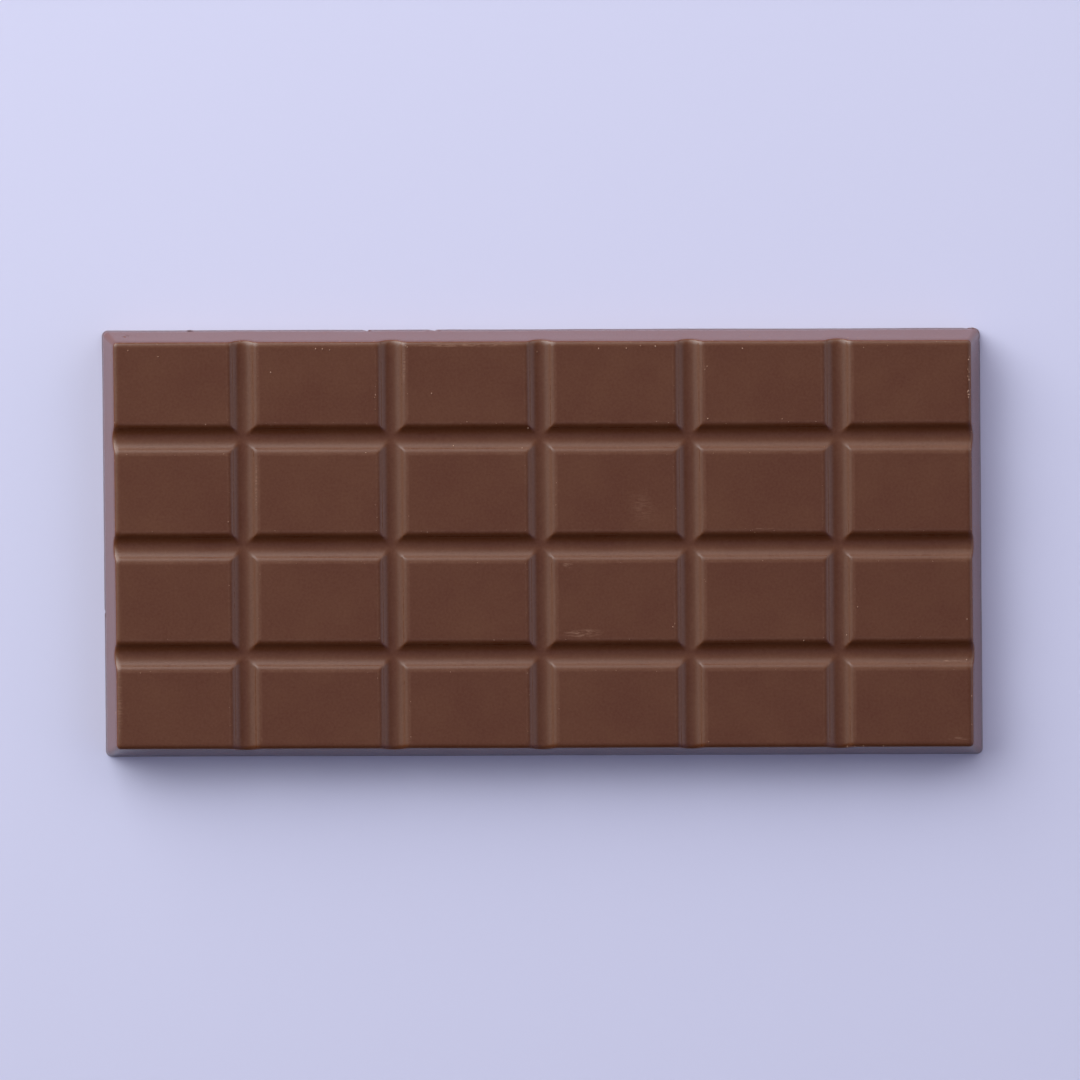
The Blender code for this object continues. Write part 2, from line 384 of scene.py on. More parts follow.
def placeLines(tree, given, lines, counts, steps, margin):
    # each line's place, its distance from its groove, and its share of the way over the last block's end
    groove, awaySide, awaySteps = nearestGroove(tree, counts, steps)
    fromGroove, reach = acrossGroove(tree, given, lines, awaySteps)
    landStep, endStep = blockSteps(tree, given, lines, counts, reach, margin)
    beyond = addNode(tree, vector, (awaySteps, (counts["fromMiddle"],) * 3), "SUBTRACT")
    beyond = addNode(tree, vector, (beyond, (0, 0, 0)), "MAXIMUM")
    beyond = addNode(tree, vector, (beyond, (*lines["end"], 0.0)), "MINIMUM")
    lastStart = tuple(last * period for last, period in zip(counts["lastGroove"], counts["period"]))
    pastLast = addNode(tree, vector, (steps, lastStart), "SUBTRACT")
    pastLast = addNode(tree, vector, (pastLast,), "SIGN")
    pastLast = addNode(tree, vector, (pastLast, (0, 0, 0)), "MAXIMUM")
    step = addNode(tree, "ShaderNodeMix", {1: pastLast, 4: landStep, 5: endStep},
                   data_type="VECTOR", factor_mode="NON_UNIFORM")
    across = addNode(tree, vector, (beyond, step.outputs[1]), "MULTIPLY")
    fromGroove = addNode(tree, vector, (fromGroove, across), "ADD")
    fromGroove = addNode(tree, vector, (fromGroove, awaySide), "MULTIPLY")
    groovePlace = addNode(tree, vector, (groove, given["Pitch"]), "MULTIPLY")
    along = addNode(tree, vector, (groovePlace, fromGroove), "ADD")
    endShare = addNode(tree, vector, (beyond, (*lines["end"], 1.0)), "DIVIDE")
    endShare = addNode(tree, vector, (endShare, pastLast), "MULTIPLY")
    return along, fromGroove, endShare


def depthBelowBlocks(tree, given, fromGroove):
    # the deeper of the two grooves, with soft mitres where they cross
    distances = addNode(tree, split, (addNode(tree, vector, (fromGroove,), "ABSOLUTE"),)).outputs
    widths = {name: addNode(tree, split, (given[name],)).outputs
              for name in ("Hollow Half", "Groove Half", "Block Edge")}
    grooveDepths = grooveDepthGroup()
    depths = []
    for axis in range(2):
        group = addNode(tree, "GeometryNodeGroup", node_tree=grooveDepths)
        tree.links.new(distances[axis], group.inputs["Distance"])
        tree.links.new(given["Groove Angle"], group.inputs["Angle"])
        for name, parts in widths.items():
            tree.links.new(parts[axis], group.inputs[name])
        depths.append(group)
    depth = addNode(tree, scalar, (*depths, given["Crossing Blend"]), "SMOOTH_MAX")
    # the blend adds a sixth of its width where both depths are the same, as on the blocks
    blendRise = addNode(tree, scalar, (given["Crossing Blend"], 1 / 6), "MULTIPLY")
    return addNode(tree, scalar, (depth, blendRise), "SUBTRACT")


def countRings(tree, counts, steps):
    # rings round the flat top: a ring's number, its side (1 short, -1 long, 0 at a corner) and its way out
    ring = addNode(tree, vector, (steps, counts["flatEnd"]), "SUBTRACT")
    ring = addNode(tree, vector, (ring, (0, 0, 0)), "MAXIMUM")
    ringParts = addNode(tree, split, (ring,)).outputs
    ringNumber = addNode(tree, scalar, (ringParts[0], ringParts[1]), "MAXIMUM")
    ringLeast = addNode(tree, scalar, (ringParts[0], ringParts[1]), "MINIMUM")
    ringFrom = addNode(tree, scalar, (ringNumber, 1.0), "MAXIMUM")
    roundShare = addNode(tree, scalar, (ringLeast, ringFrom), "DIVIDE")
    roundBack = addNode(tree, scalar, (roundShare, -math.pi / 4, math.pi / 4), "MULTIPLY_ADD")
    ringSide = addNode(tree, scalar, (ringParts[0], ringParts[1]), "SUBTRACT")
    ringSide = addNode(tree, scalar, (ringSide,), "SIGN")
    roundTurn = addNode(tree, scalar, (roundBack, ringSide), "MULTIPLY")
    roundTurn = addNode(tree, scalar, (math.pi / 4, roundTurn), "SUBTRACT")
    roundX = addNode(tree, scalar, (roundTurn,), "COSINE")
    roundY = addNode(tree, scalar, (roundTurn,), "SINE")
    outwards = addNode(tree, combine, (roundX, roundY, 0.0))
    return ringNumber, ringSide, outwards


def rimOval(tree, given, turn):
    # how far out and how far down the rim's quarter oval has come after a turn
    sine = addNode(tree, scalar, (turn,), "SINE")
    cosine = addNode(tree, scalar, (turn,), "COSINE")
    out = addNode(tree, scalar, (sine, given["Rim Width"]), "MULTIPLY")
    fall = addNode(tree, scalar, (1.0, cosine), "SUBTRACT")
    fall = addNode(tree, scalar, (fall, given["Rim Drop"]), "MULTIPLY")
    return out, fall


def rimSection(tree, given, lines, ringNumber, draft):
    # the oval ends where it runs along the leaning wall; out is counted from the wall's line at the top
    rimLean = addNode(tree, scalar, (draft, given["Rim Drop"]), "MULTIPLY")
    fullTurn = addNode(tree, scalar, (given["Rim Width"], rimLean), "ARCTAN2")
    fullOut, fullFall = rimOval(tree, given, fullTurn)
    fullLean = addNode(tree, scalar, (fullFall, draft), "MULTIPLY")
    wallTop = addNode(tree, scalar, (fullOut, fullLean), "SUBTRACT")
    rimShare = addNode(tree, "ShaderNodeMapRange", (ringNumber, 1, 1 + lines["rim"], 0, 1))
    rimTurn = addNode(tree, scalar, (rimShare, fullTurn), "MULTIPLY")
    out, fall = rimOval(tree, given, rimTurn)
    return addNode(tree, scalar, (out, wallTop), "SUBTRACT"), fall


def topSection(tree, given, lines, counts, ringNumber, depth, margin):
    # over the rim and down the wall: how far out each ring lies, its corners' radius and its height
    thickness = addNode(tree, split, (given["Size"],)).outputs[2]
    draft = addNode(tree, scalar, (given["Inset"], thickness), "DIVIDE")
    rimOut, rimFall = rimSection(tree, given, lines, ringNumber, draft)
    ringOn = addNode(tree, scalar, (ringNumber, 1.0), "MINIMUM")
    rimReach = addNode(tree, scalar, (rimOut, margin), "ADD")
    rimReach = addNode(tree, scalar, (rimReach, ringOn), "MULTIPLY")
    rimOut = addNode(tree, scalar, (rimReach, margin), "SUBTRACT")
    cornerShare = addNode(tree, scalar, (given["Top Corner"], margin), "DIVIDE")
    rimRadius = addNode(tree, scalar, (rimReach, cornerShare), "MULTIPLY")
    # a groove runs out lower down the leaning wall, so further out
    grooveOut = addNode(tree, scalar, (draft, depth), "MULTIPLY")
    rimOut = addNode(tree, scalar, (grooveOut, ringOn, rimOut), "MULTIPLY_ADD")
    topHeight = addNode(tree, scalar, (thickness, depth), "SUBTRACT")
    rimHeight = addNode(tree, scalar, (topHeight, rimFall), "SUBTRACT")
    # down the wall, and in round the lip at its foot
    sideStart = 1 + lines["rim"]
    sideShare = addNode(tree, "ShaderNodeMapRange", (ringNumber, sideStart, sideStart + lines["side"], 0, 1))
    lipShare = addNode(tree, "ShaderNodeMapRange", (ringNumber, counts["rings"] - 1, counts["rings"], 0, 1))
    lipIn = addNode(tree, scalar, (lipShare, given["Lip"]), "MULTIPLY")
    out = addNode(tree, "ShaderNodeMix", {0: sideShare, 2: rimOut, 3: given["Inset"]})
    out = addNode(tree, scalar, (out, lipIn), "SUBTRACT")
    radius = addNode(tree, "ShaderNodeMix", {0: sideShare, 2: rimRadius, 3: given["Back Corner"]})
    radius = addNode(tree, scalar, (radius, lipIn), "SUBTRACT")
    height = addNode(tree, "ShaderNodeMix", {0: sideShare, 2: rimHeight, 3: given["Lip"]})
    lipLeft = addNode(tree, scalar, (1.0, lipShare), "SUBTRACT")
    height = addNode(tree, scalar, (height, lipLeft), "MULTIPLY")
    return out, radius, height


def backSection(tree, given, backShare, margin):
    # the back has the same rings, spread flat
    outEnd = addNode(tree, scalar, (given["Inset"], given["Lip"]), "SUBTRACT")
    radiusEnd = addNode(tree, scalar, (given["Back Corner"], given["Lip"]), "SUBTRACT")
    cornerIn = addNode(tree, scalar, (margin, -1.0), "MULTIPLY")
    out = addNode(tree, "ShaderNodeMix", {0: backShare, 2: cornerIn, 3: outEnd})
    radius = addNode(tree, "ShaderNodeMix", {0: backShare, 2: 0.0, 3: radiusEnd})
    return out, radius


def rubShare(tree, bar, side, ringNumber, ringSide, depth):
    # just below a block's edge and round the rim; round the rim it is partly a painted highlight
    edgeStart = addNode(tree, "ShaderNodeMapRange", (depth, *bar["rubFrom"], 0.0, 1.0))
    edgeStop = addNode(tree, "ShaderNodeMapRange", (depth, *bar["rubTo"], 1.0, 0.0))
    blockRub = addNode(tree, scalar, (edgeStart, edgeStop), "MULTIPLY")
    onTop = addNode(tree, scalar, (ringNumber, 0.5), "LESS_THAN")
    blockRub = addNode(tree, scalar, (blockRub, onTop), "MULTIPLY")
    strongest = bar["rimRub"] * bar["lines"]["rim"] + 1
    fromStrongest = addNode(tree, scalar, (ringNumber, strongest), "SUBTRACT")
    fromStrongest = addNode(tree, scalar, (fromStrongest,), "ABSOLUTE")
    rimRub = addNode(tree, "ShaderNodeMapRange", (fromStrongest, 0.0, bar["rimRubSpan"], 1.0, 0.0))
    # the rim of the front long side lies in shade and keeps little of the pale line, which elsewhere is
    # partly a painted highlight
    onFront = addNode(tree, scalar, (addNode(tree, split, (side,)).outputs[1], 0.0), "LESS_THAN")
    onLong = addNode(tree, scalar, (ringSide, 0.0), "LESS_THAN")
    spared = addNode(tree, scalar, (onFront, onLong), "MULTIPLY")
    rubLeft = addNode(tree, scalar, (spared, -bar["frontSpared"], 1.0), "MULTIPLY_ADD")
    rimRub = addNode(tree, scalar, (rimRub, rubLeft), "MULTIPLY")
    return addNode(tree, scalar, (blockRub, rimRub), "MAXIMUM")


def sheetPlace(tree, out, radius, margin, along, endShare, outwards, side, shifted):
    # along the axes, out to the ring, round the corner
    centre = addNode(tree, scalar, (out, radius), "SUBTRACT")
    centre = addNode(tree, scalar, (centre, margin), "ADD")
    centreOut = addNode(tree, vector, {0: endShare, "Scale": centre}, "SCALE")
    roundOut = addNode(tree, vector, {0: outwards, "Scale": radius}, "SCALE")
    place = addNode(tree, vector, (along, centreOut), "ADD")
    place = addNode(tree, vector, (place, roundOut), "ADD")
    place = addNode(tree, vector, (place, side), "MULTIPLY")
    return addNode(tree, vector, (place, shifted), "ADD")


def unevenness(tree, given, bar):
    position = addNode(tree, "GeometryNodeInputPosition")
    places = addNode(tree, split, (position,)).outputs
    halves = addNode(tree, vector, (given["Size"], (0.5, 0.5, 1)), "MULTIPLY")
    shares = addNode(tree, vector, (position, halves), "DIVIDE")
    heightShare = addNode(tree, split, (shares,)).outputs[2]
    # moulded lines wander to both sides, on the level
    wander = addNode(tree, "ShaderNodeTexNoise",
                     {"Vector": position, "Scale": 1 / bar["waverSize"], "Detail": 3.0})
    wander = addNode(tree, vector, (wander.outputs["Color"], (0.5, 0.5, 0.5)), "SUBTRACT")
    wander = addNode(tree, vector, {0: wander, "Scale": given["Waver"]}, "SCALE")
    wander = addNode(tree, vector, (wander, (2, 2, 0)), "MULTIPLY")
    # the blocks are not quite flat: on average they sink by the sag
    sag = addNode(tree, "ShaderNodeTexNoise",
                  {"Vector": position, "Scale": 1 / bar["sagSize"], "Detail": 1.0})
    sag = addNode(tree, scalar, (sag, given["Sag"]), "MULTIPLY")
    sag = addNode(tree, scalar, (sag, heightShare), "MULTIPLY")
    sag = addNode(tree, scalar, (sag, -2.0), "MULTIPLY")
    # the whole is out of square, and its top is a little shorter and to one side
    skewed = addNode(tree, scalar, (places[1], given["Skew"]), "MULTIPLY")
    ends = addNode(tree, scalar, (places[0], given["End Taper"]), "MULTIPLY")
    ends = addNode(tree, scalar, (given["Top Shift"], ends), "SUBTRACT")
    ends = addNode(tree, scalar, (ends, heightShare), "MULTIPLY")
    sideways = addNode(tree, scalar, (ends, skewed), "SUBTRACT")
    offset = addNode(tree, vector, (wander, addNode(tree, combine, (sideways, 0.0, sag))), "ADD")
    # drawn in by as much as it may wander, so the foot stays within the slab's length and width
    room = addNode(tree, scalar, (given["Waver"], -bar["waverRoom"]), "MULTIPLY")
    room = addNode(tree, vector, {0: (1, 1, 0), "Scale": room}, "SCALE")
    drawnIn = addNode(tree, vector, (shares, room), "MULTIPLY")
    return addNode(tree, vector, (offset, drawnIn), "ADD")


def barTree(bar, material):
    tree, given = emptyGeometryTree("moulded bar", {
        "Size": "Vector", "Pitch": "Vector", "Shift": "Vector", "Inset": "Float", "Back Corner": "Float",
        "Top Corner": "Float", "Rim Width": "Float", "Rim Drop": "Float", "Lip": "Float",
        "Groove Angle": "Float", "Hollow Half": "Vector", "Groove Half": "Vector", "Block Edge": "Vector",
        "Crossing Blend": "Float", "Guard": "Float", "Waver": "Float", "Skew": "Float", "End Taper": "Float",
        "Top Shift": "Float", "Sag": "Float", "Back Ripple": "Float"}, ("Geometry", "Geometry"))
    lines = bar["lines"]
    counts = countLines(bar)
    linesX, linesY = counts["grid"]
    grid = addNode(tree, "GeometryNodeMeshGrid", (linesX - 1, linesY - 1, linesX, linesY))

    # a line's number is its place in the grid, counted outwards from the middle
    lattice = addNode(tree, "GeometryNodeInputPosition")
    side = addNode(tree, vector, (lattice,), "SIGN")
    steps = addNode(tree, vector, (lattice,), "ABSOLUTE")
    # the flat top ends a little inside the rim's curve
    margin = addNode(tree, scalar, (given["Rim Width"], bar["rimMargin"]), "MULTIPLY")
    along, fromGroove, endShare = placeLines(tree, given, lines, counts, steps, margin)
    depth = depthBelowBlocks(tree, given, fromGroove)
    ringNumber, ringSide, outwards = countRings(tree, counts, steps)
    # the rub share: worn, pale edges, and on the rims partly a painted highlight
    rub = rubShare(tree, bar, side, ringNumber, ringSide, depth)
    rubbedGrid = addNode(tree, "GeometryNodeStoreNamedAttribute",
                         {"Geometry": grid, "Name": "rub", "Value": rub}, data_type="FLOAT", domain="POINT")

    # the pattern's shift dies away towards the rim
    shifted = addNode(tree, vector, ((1, 1, 1), endShare), "SUBTRACT")
    shifted = addNode(tree, vector, (shifted, given["Shift"]), "MULTIPLY")
    bothSheets = (margin, along, endShare, outwards, side, shifted)

    out, radius, height = topSection(tree, given, lines, counts, ringNumber, depth, margin)
    topParts = addNode(tree, split, (sheetPlace(tree, out, radius, *bothSheets),)).outputs
    topPlace = addNode(tree, combine, (topParts[0], topParts[1], height))
    top = addNode(tree, "GeometryNodeSetPosition", {"Geometry": rubbedGrid, "Position": topPlace})

    backShare = addNode(tree, scalar, (ringNumber, counts["rings"]), "DIVIDE")
    out, radius = backSection(tree, given, backShare, margin)
    flatPlace = sheetPlace(tree, out, radius, *bothSheets)
    backParts = addNode(tree, split, (flatPlace,)).outputs
    ripple = addNode(tree, "ShaderNodeTexNoise",
                     {"Vector": flatPlace, "Scale": 1 / bar["rippleSize"], "Detail": 1.0})
    backLeft = addNode(tree, scalar, (1.0, backShare), "SUBTRACT")
    rippleHeight = addNode(tree, scalar, (ripple, given["Back Ripple"]), "MULTIPLY")
    rippleHeight = addNode(tree, scalar, (rippleHeight, backLeft), "MULTIPLY")
    backPlace = addNode(tree, combine, (backParts[0], backParts[1], rippleHeight))
    back = addNode(tree, "GeometryNodeSetPosition", {"Geometry": grid, "Position": backPlace})
    back = addNode(tree, "GeometryNodeFlipFaces", {"Mesh": back})

    joined = addNode(tree, "GeometryNodeJoinGeometry")
    tree.links.new(back.outputs[0], joined.inputs[0])
    tree.links.new(top.outputs[0], joined.inputs[0])
    closed = addNode(tree, "GeometryNodeMergeByDistance", {"Geometry": joined, "Distance": bar["weldGap"]})
    uneven = addNode(tree, "GeometryNodeSetPosition",
                     {"Geometry": closed, "Offset": unevenness(tree, given, bar)})
    smooth = addNode(tree, "GeometryNodeSetShadeSmooth", {"Geometry": uneven})
    real = addNode(tree, "GeometryNodeRealizeInstances", {"Geometry": smooth})
    finished = addNode(tree, "GeometryNodeSetMaterial", {"Geometry": real, "Material": material})
    addNode(tree, "NodeGroupOutput", {"Geometry": finished})
    return tree


def fromNodes(name, tree, values, points=()):
    # runs a tree on an empty mesh, or on loose points, and keeps the result as a plain mesh;
    # its input Rim Width takes the value rimWidth, and a pair of sizes is filled up to a vector
    startMesh = bpy.data.meshes.new(name + "Start")
    startMesh.from_pydata(points, [], [])
    start = bpy.data.objects.new(name + "Start", startMesh)
    bpy.context.scene.collection.objects.link(start)
    modifier = start.modifiers.new("nodes", "NODES")
    modifier.node_group = tree
    for item in tree.interface.items_tree:
        first, *others = item.name.split()
        key = first.lower() + "".join(others)
        if item.in_out == "INPUT" and key in values:
            value = values[key]
            pair = isinstance(value, tuple) and len(value) == 2
            modifier[item.identifier] = (*value, 0.0) if pair else value
    bpy.context.view_layer.update()
    evaluated = start.evaluated_get(bpy.context.evaluated_depsgraph_get())
    mesh = bpy.data.meshes.new_from_object(evaluated)
    mesh.name = name
    bpy.data.objects.remove(start)
    piece = bpy.data.objects.new(name, mesh)
    bpy.context.scene.collection.objects.link(piece)
    return piece


def hollowHalves(bar):
    # half widths of the round floors that give the wanted depth between straight walls
    angle = bar["grooveAngle"]
    radii = [(half * math.tan(angle) - bar["grooveDepth"]) / (1 / math.cos(angle) - 1)
             for half in bar["grooveHalf"]]
    return tuple(radius * math.sin(angle) for radius in radii)


bar = fromNodes("chocolateBar", barTree(mouldedBar, milkChocolate(chocolateLook)), {
    **mouldedBar,
    "size": [high - low for low, high in zip(barLow, barHigh)],
    "hollowHalf": hollowHalves(mouldedBar),
})
print("bar moulded,", len(bar.data.polygons), "faces")


# small damage from the mould and the table
knocks = {
    "grain": 0.25 * mm,
    "ragged": (0.8, 0.6),         # share of the push that is even, and share that changes with the grain
    "nearby": 8 * mm,             # only the edges this near to a mark are looked at
    "fineness": 3,                # faces from a mark's middle to the end of its reach
    "margin": 1.3,                # how many reaches from the middle the faces are made fine
    "halvings": 7,                # and at most how often
    # where each mark is, how far it reaches and how it pushes the surface, in mm
    "marks": [
        {"at": (-73.6, 36.75, 4.0), "reach": 0.45, "push": (0.0, -0.3, -0.1)},  # air bubble in the long wall
        {"at": (-72.9, 36.95, 3.2), "reach": 0.3, "push": (0.0, -0.15, 0.0)},
        {"at": (-62.1, 37.6, 0.3), "reach": 0.5, "push": (0.0, 0.14, 0.1)},     # crumb pressed into the foot
        {"at": (-31.0, 37.7, 0.3), "reach": 0.7, "push": (0.0, -0.4, 0.15)},    # notch
        {"at": (-19.2, 37.7, 0.4), "reach": 0.9, "push": (0.0, -0.3, 0.2)},     # flake broken off
        {"at": (74.7, 37.6, 0.4), "reach": 0.6, "push": (0.05, -0.3, 0.15)},    # ragged foot at the corner
        {"at": (75.9, 37.5, 0.3), "reach": 0.5, "push": (0.1, 0.12, 0.1)},
        {"at": (76.8, 36.9, 0.4), "reach": 0.6, "push": (-0.25, -0.2, 0.1)},
        {"at": (77.3, 35.6, 0.3), "reach": 0.5, "push": (-0.25, 0.0, 0.1)},
        {"at": (-77.2, -12.0, 0.3), "reach": 0.6, "push": (0.25, 0.0, 0.1)},
        {"at": (12.5, -37.5, 0.3), "reach": 0.5, "push": (0.0, 0.25, 0.1)},
    ],
}


def refineAround(work, middle, reach, knocks):
    # halves the edges that pass near the middle until they are short
    for halving in range(knocks["halvings"]):
        around = {edge for vertex in work.verts if (vertex.co - middle).length < knocks["nearby"]
                  for edge in vertex.link_edges}
        tooLong = []
        for edge in around:
            start, end = (vertex.co for vertex in edge.verts)
            run = end - start
            nearest = min(max((middle - start).dot(run) / max(run.length_squared, 1e-12), 0), 1)
            gap = (start.lerp(end, nearest) - middle).length
            if edge.calc_length() > reach / knocks["fineness"] and gap < knocks["margin"] * reach:
                tooLong.append(edge)
        if not tooLong:
            break
        bmesh.ops.subdivide_edges(work, edges=tooLong, cuts=1, use_grid_fill=True)


def knockIn(piece, knocks):
    # finer faces round each mark, then a soft, slightly ragged push
    even, uneven = knocks["ragged"]
    work = bmesh.new()
    work.from_mesh(piece.data)
    for mark in knocks["marks"]:
        middle = Vector(mark["at"]) * mm
        reach = mark["reach"] * mm
        push = Vector(mark["push"]) * mm
        refineAround(work, middle, reach, knocks)
        for vertex in work.verts:
            near = 1 - (vertex.co - middle).length / reach
            if near > 0:
                ragged = even + uneven * noise.noise(vertex.co / knocks["grain"])
                vertex.co += push * near * near * (3 - 2 * near) * ragged
                vertex.co.z = max(vertex.co.z, 0.0)
    work.to_mesh(piece.data)
    work.free()


knockIn(bar, knocks)
print("knocks made,", len(bar.data.polygons), "faces")
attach(bar, "root")
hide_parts("chocolate_bar")


# Crumbs and dust of chocolate: rubbed off sharp edges, pale with cocoa butter and the air in them.
crumbLook = {
    "pale": "#B4937D",
    "brown": "#7E573F",
    "patchSize": 0.6 * mm,
    "patchSpread": (0.4, 0.6),
    "roughness": 0.7,
    "ior": 1.45,
    "halfSize": (0.035 * mm, 0.10 * mm),
    "perArea": 0.3 / (mm * mm),       # on the rubbed edges
    "seed": 11,
    # larger ones, where they lie along and across the bar in mm
    "marks": [
        (-23.77, 34.97), (-2.53, 20.62), (14.79, 34.63), (19.9, 34.96), (-0.89, 33.99), (35.21, 34.55),
        (29.04, 31.4), (56.52, 34.63), (60.75, 34.97), (53.49, -16.06), (74.6, -20.55), (75.45, -26.9),
        (53.58, -35.78), (56.4, -35.62), (59.92, -35.64), (29.11, -34.8), (-3.6, 17.1), (23.34, 17.16),
        (22.86, -14.53), (-67.6, 33.4), (-19.5, 26.8), (-72.9, 34.5), (-39.9, 34.7), (-38.7, 34.7),
        (-37.4, 34.5), (9.9, 34.6), (17.3, 35.1), (29.1, 22.2), (42.2, 22.1), (49.6, 17.1),
        (-15.7, 17.5), (-29.5, 26.1), (-29.4, 24.0), (74.7, -13.3), (45.9, -17.0), (-24.0, 35.2),
        (-47.8, 30.6), (55.4, -11.1),
    ],
    "markBulk": 0.8,                  # how much larger these are
    # a row of them along the rim at one end, in mm: distance from the middle, how far it strays from a
    # straight line, and from where to where
    "row": {"x": 75.0, "stray": 0.15, "from": 25.6, "to": 33.0, "count": 15},
    "dropHeight": 2 * barHigh[2],     # they fall onto the bar from here
}


def crumbMaterial(look):
    material = emptyMaterial("crumb")
    tree = material.node_tree
    place = addNode(tree, "ShaderNodeTexCoord").outputs["Object"]
    patches = addNode(tree, "ShaderNodeTexNoise",
                      {"Vector": place, "Scale": 1 / look["patchSize"], "Detail": 2.0})
    share = addNode(tree, "ShaderNodeMapRange", (patches, *look["patchSpread"], 0.0, 1.0))
    colour = addNode(tree, "ShaderNodeMix",
                     {0: share, 6: linearColour(look["brown"]), 7: linearColour(look["pale"])},
                     data_type="RGBA")
    shader = addNode(tree, "ShaderNodeBsdfPrincipled",
                     {"Base Color": colour.outputs[2], "Roughness": look["roughness"], "IOR": look["ior"]})
    addNode(tree, "ShaderNodeOutputMaterial", {"Surface": shader})
    return material


def crumbPoints(look):
    # above the bar, over each mark and over the row
    height = look["dropHeight"]
    points = [(x * mm, y * mm, height) for x, y in look["marks"]]
    row = look["row"]
    draws = random.Random(look["seed"])
    for number in range(row["count"]):
        y = row["from"] + (row["to"] - row["from"]) * draws.random()
        x = row["x"] + draws.uniform(-row["stray"], row["stray"])
        points.append((x * mm, y * mm, height))
    return points


def crumbTree(surface, material):
    tree, given = emptyGeometryTree("crumbs", {
        "Points": "Geometry", "Per Area": "Float", "Least": "Vector", "Most": "Vector",
        "Mark Bulk": "Float", "Seed": "Int"}, ("Geometry", "Geometry"))
    ground = addNode(tree, "GeometryNodeObjectInfo", {"Object": surface}).outputs["Geometry"]
    # the marked ones drop straight down onto the bar
    above = addNode(tree, "GeometryNodeInputPosition")
    drop = addNode(tree, "GeometryNodeRaycast",
                   {"Target Geometry": ground, "Source Position": above, "Ray Direction": (0.0, 0.0, -1.0)})
    dropped = addNode(tree, "GeometryNodeSetPosition",
                      {"Geometry": given["Points"], "Position": drop.outputs["Hit Position"]})
    marked = addNode(tree, "GeometryNodeMeshToPoints", {"Mesh": dropped})
    marked = addNode(tree, "GeometryNodeStoreNamedAttribute",
                     {"Geometry": marked, "Name": "bulk", "Value": given["Mark Bulk"]},
                     data_type="FLOAT", domain="POINT")
    # the rest lie along the rubbed edges
    rub = addNode(tree, "GeometryNodeInputNamedAttribute", {"Name": "rub"}, data_type="FLOAT")
    density = addNode(tree, scalar, (rub, given["Per Area"]), "MULTIPLY")
    strewn = addNode(tree, "GeometryNodeDistributePointsOnFaces",
                     {"Mesh": ground, "Density": density, "Seed": given["Seed"]})
    joined = addNode(tree, "GeometryNodeJoinGeometry")
    tree.links.new(marked.outputs[0], joined.inputs[0])
    tree.links.new(strewn.outputs[0], joined.inputs[0])
    # every one is turned and stretched at random
    crumb = addNode(tree, "GeometryNodeMeshIcoSphere", {"Radius": 1.0, "Subdivisions": 1})
    turn = addNode(tree, "FunctionNodeRandomValue", {1: (math.tau,) * 3, "Seed": given["Seed"]},
                   data_type="FLOAT_VECTOR")
    size = addNode(tree, "FunctionNodeRandomValue",
                   {0: given["Least"], 1: given["Most"], "Seed": given["Seed"]}, data_type="FLOAT_VECTOR")
    bulk = addNode(tree, "GeometryNodeInputNamedAttribute", {"Name": "bulk"}, data_type="FLOAT")
    bulk = addNode(tree, scalar, (bulk, 1.0), "ADD")
    size = addNode(tree, vector, {0: size, "Scale": bulk}, "SCALE")
    placed = addNode(tree, "GeometryNodeInstanceOnPoints",
                     {"Points": joined, "Instance": crumb, "Rotation": turn, "Scale": size})
    real = addNode(tree, "GeometryNodeRealizeInstances", {"Geometry": placed})
    finished = addNode(tree, "GeometryNodeSetMaterial", {"Geometry": real, "Material": material})
    addNode(tree, "NodeGroupOutput", {"Geometry": finished})
    return tree


crumbs = fromNodes("crumbs", crumbTree(bar, crumbMaterial(crumbLook)), {
    **crumbLook,
    "least": (crumbLook["halfSize"][0],) * 3,
    "most": (crumbLook["halfSize"][1],) * 3,
}, crumbPoints(crumbLook))
print("crumbs strewn,", len(crumbs.data.polygons), "faces")
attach(crumbs, "root")


# Uncoated paper, even and without gloss, under soft lamps with a camera above.
studio = {
    "paper": "#D1D3EC",
    "paperSize": 3.0,             # in metres, as the distances below
    # each lamp: the direction it comes from in degrees clockwise from +Y, its height above the floor,
    # its width and height in degrees as the bar sees it, and how much red, green and blue it brings
    "lamps": [
        {"from": 320, "up": 10, "size": (50, 20), "light": (0.976, 0.976, 0.943)},
        {"from": 320, "up": 26, "size": (60, 36), "light": (2.108, 2.108, 2.108)},
        {"from": 320, "up": 45, "size": (60, 40), "light": (1.339, 1.374, 1.408)},
        {"from": 290, "up": 12, "size": (50, 24), "light": (0.261, 0.222, 0.171)},
        {"from": 290, "up": 34, "size": (60, 40), "light": (0.982, 0.956, 0.940)},
        {"from": 350, "up": 20, "size": (30, 16), "light": (0.089, 0.079, 0.064)},
        {"from": 30, "up": 26, "size": (60, 40), "light": (0.901, 0.886, 0.895)},
        {"from": 63, "up": 30, "size": (66, 40), "light": (0.890, 0.856, 0.886)},
        {"from": 90, "up": 12, "size": (50, 24), "light": (0.234, 0.148, 0.134)},
        {"from": 120, "up": 31, "size": (50, 40), "light": (0.130, 0.160, 0.330)},
        {"from": 180, "up": 80, "size": (40, 40), "light": (0.170, 0.173, 0.268)},
        {"from": 180, "up": 20, "size": (60, 40), "light": (0.060, 0.030, 0.030)},
    ],
    "lampDistance": 1.6,
    "cameraDistance": 3.0,
    "cameraLean": (0.27, 3.46),   # degrees from straight above, towards -X and towards +Y
    "cameraTurn": 0.17,
    "frameWidth": 190.6 * mm,     # how much of the floor the picture spans
    "aim": (-0.46 * mm, 0.43 * mm),
}


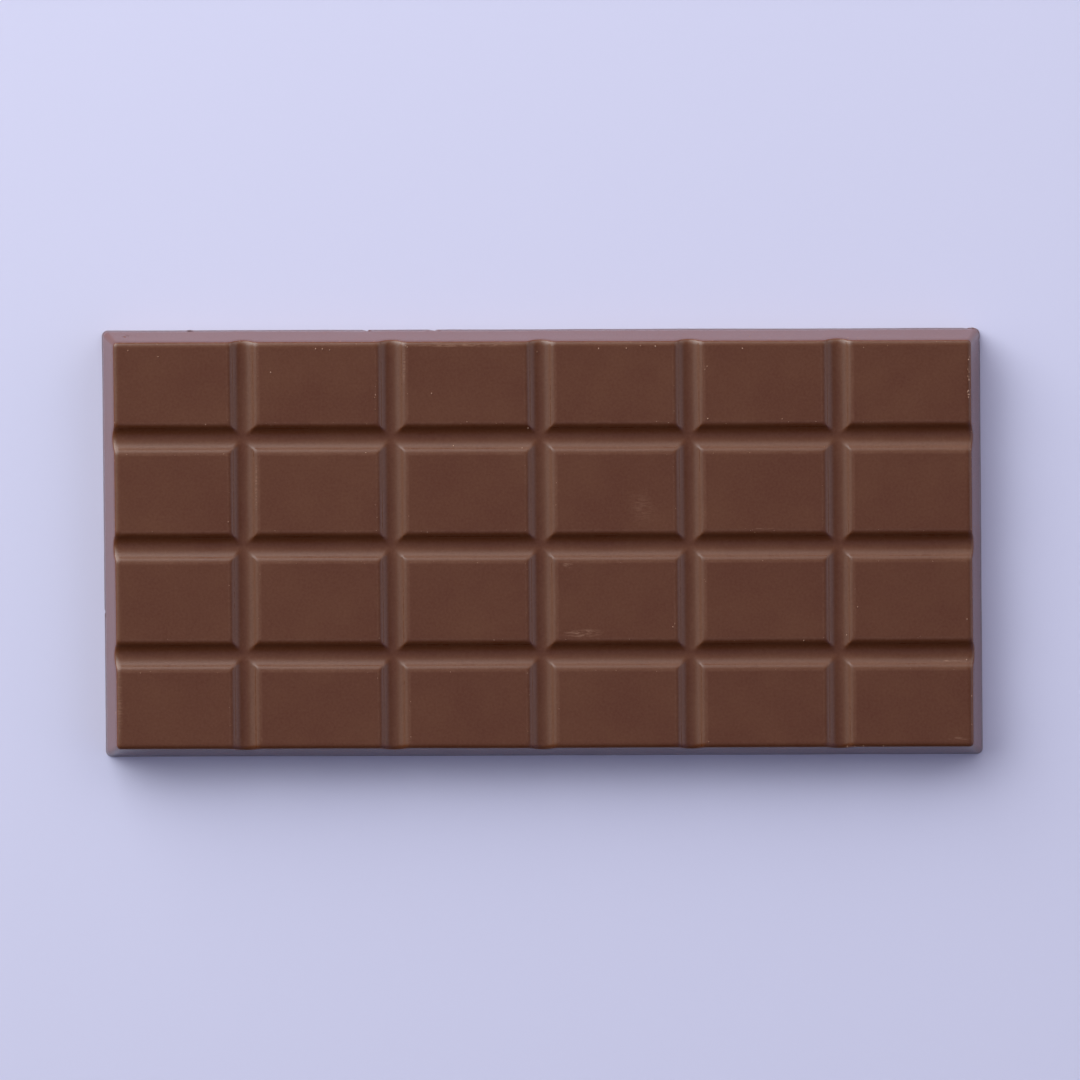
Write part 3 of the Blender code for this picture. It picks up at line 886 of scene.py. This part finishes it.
def addFloor(look):
    mesh = bpy.data.meshes.new("floor")
    reach = look["paperSize"] / 2
    corners = [(-reach, -reach, 0), (reach, -reach, 0), (reach, reach, 0), (-reach, reach, 0)]
    mesh.from_pydata(corners, [], [(0, 1, 2, 3)])
    floor = bpy.data.objects.new("floor", mesh)
    bpy.context.scene.collection.objects.link(floor)
    material = bpy.data.materials.new("palePaper")
    material.use_nodes = True
    shader = material.node_tree.nodes["Principled BSDF"]
    shader.inputs["Base Color"].default_value = linearColour(look["paper"])
    shader.inputs["Roughness"].default_value = 1.0
    shader.inputs["Specular IOR Level"].default_value = 0.0
    mesh.materials.append(material)


def addLamp(name, lamp, distance):
    azimuth, height = math.radians(lamp["from"]), math.radians(lamp["up"])
    towards = Vector((math.sin(azimuth) * math.cos(height), math.cos(azimuth) * math.cos(height),
                      math.sin(height)))
    light = bpy.data.lights.new(name, "AREA")
    light.shape = "RECTANGLE"
    light.size, light.size_y = (2 * distance * math.tan(math.radians(angle / 2)) for angle in lamp["size"])
    strongest = max(lamp["light"])
    light.energy = math.pi * distance ** 2 * strongest
    light.color = [part / strongest for part in lamp["light"]]
    holder = bpy.data.objects.new(name, light)
    holder.location = towards * distance
    holder.rotation_euler = towards.to_track_quat("Z", "Y").to_euler()
    holder.visible_camera = False
    bpy.context.scene.collection.objects.link(holder)


def addLights(look):
    # the lamps are all the light there is
    world = bpy.data.worlds.new("studioAir")
    world.use_nodes = True
    world.node_tree.nodes["Background"].inputs["Strength"].default_value = 0.0
    bpy.context.scene.world = world
    for number, lamp in enumerate(look["lamps"]):
        addLamp("lamp%d" % number, lamp, look["lampDistance"])


def addCamera(look):
    left, back = (math.radians(lean) for lean in look["cameraLean"])
    towards = Vector((-math.sin(left), math.sin(back), math.cos(left) * math.cos(back))).normalized()
    across = Vector((0, 1, 0)).cross(towards).normalized()
    axes = Matrix((across, towards.cross(across), towards)).transposed()
    turn = Matrix.Rotation(-math.radians(look["cameraTurn"]), 3, "Z")
    data = bpy.data.cameras.new("camera")
    data.lens = data.sensor_width * look["cameraDistance"] / look["frameWidth"]
    camera = bpy.data.objects.new("camera", data)
    camera.location = Vector((*look["aim"], 0)) + towards * look["cameraDistance"]
    camera.rotation_euler = (axes @ turn).to_euler()
    bpy.context.scene.collection.objects.link(camera)
    bpy.context.scene.camera = camera


addFloor(studio)
addLights(studio)
addCamera(studio)
bpy.context.scene.view_settings.view_transform = "Standard"
print("studio set")
